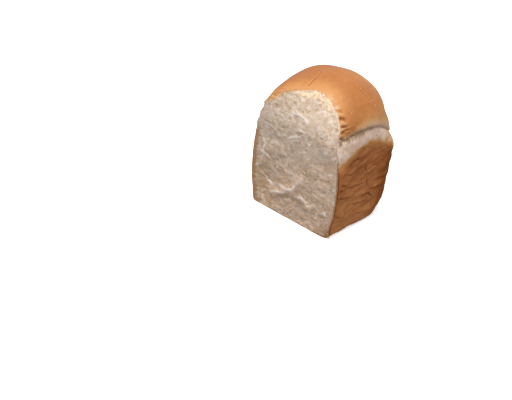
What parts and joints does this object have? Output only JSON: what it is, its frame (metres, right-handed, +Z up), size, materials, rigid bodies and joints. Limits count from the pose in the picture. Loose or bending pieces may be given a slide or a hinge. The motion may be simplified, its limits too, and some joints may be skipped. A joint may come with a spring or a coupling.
{
  "type": "tin loaf",
  "caption": "Half of a tall tin-baked white loaf: one domed mound on a squarish tin-shaped body with a flat base, torn open at one end.",
  "frame": {"origin": "middle of the footprint's bounding box, on the flat base", "axes": "+Z up along the loaf's height, -Y towards the torn end, +X to the right when facing the torn end"},
  "size_m": [0.1246, 0.117, 0.1645],
  "materials": {
    "crust": "baked bread crust: satin golden brown dome, matt brown tin-baked sides with a pale band between them",
    "crumb": "soft fibrous torn white crumb"
  },
  "bodies": {
    "root": {"loaf": "crust"}
  },
  "joints": []
}
